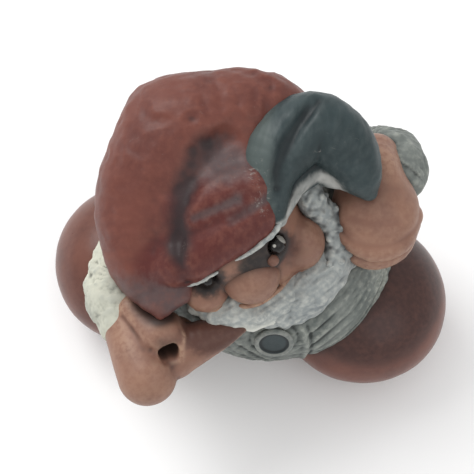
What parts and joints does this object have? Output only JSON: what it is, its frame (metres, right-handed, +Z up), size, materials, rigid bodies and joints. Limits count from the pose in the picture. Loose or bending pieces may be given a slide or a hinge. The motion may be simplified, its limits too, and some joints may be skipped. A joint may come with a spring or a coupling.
{
  "type": "gnome figurine",
  "caption": "Squat folk-craft gnome figurine in a floppy red cap with a turned-up green lining, white moustache, grey smock and big rounded boots; it rests on a flat base.",
  "frame": {"origin": "on the floor plane, under the seat of the trousers, midway between the boots' soles", "axes": "+Z up, -Y towards the gnome's front, +X towards the gnome's own left"},
  "size_m": [0.1386, 0.0976, 0.1093],
  "materials": {
    "cap_paint": "matt brick-red paint with dark wash in the folds",
    "lining_paint": "matt dark green paint, scratched",
    "skin_paint": "satin flesh paint with a brown wash",
    "eye_paint": "gloss dark brown",
    "hair_paint": "matt off-white over a grey wash",
    "smock_paint": "matt grey-green with pale dry-brushed folds",
    "button_paint": "matt dark green",
    "trouser_paint": "matt grey-brown",
    "boot_paint": "satin brick-brown"
  },
  "bodies": {
    "root": {"cap_crown": "cap_paint", "cap_lining": "lining_paint", "head": "skin_paint", "nose": "skin_paint", "wart": "skin_paint", "left_hand": "skin_paint", "right_hand": "skin_paint", "left_eye": "eye_paint", "right_eye": "eye_paint", "left_eyebrow": "hair_paint", "right_eyebrow": "hair_paint", "moustache": "hair_paint", "beard": "hair_paint", "side_hair": "hair_paint", "tunic": "smock_paint", "left_sleeve": "smock_paint", "right_sleeve": "smock_paint", "tunic_button": "button_paint", "trousers": "trouser_paint", "left_boot": "boot_paint", "right_boot": "boot_paint"}
  },
  "joints": []
}
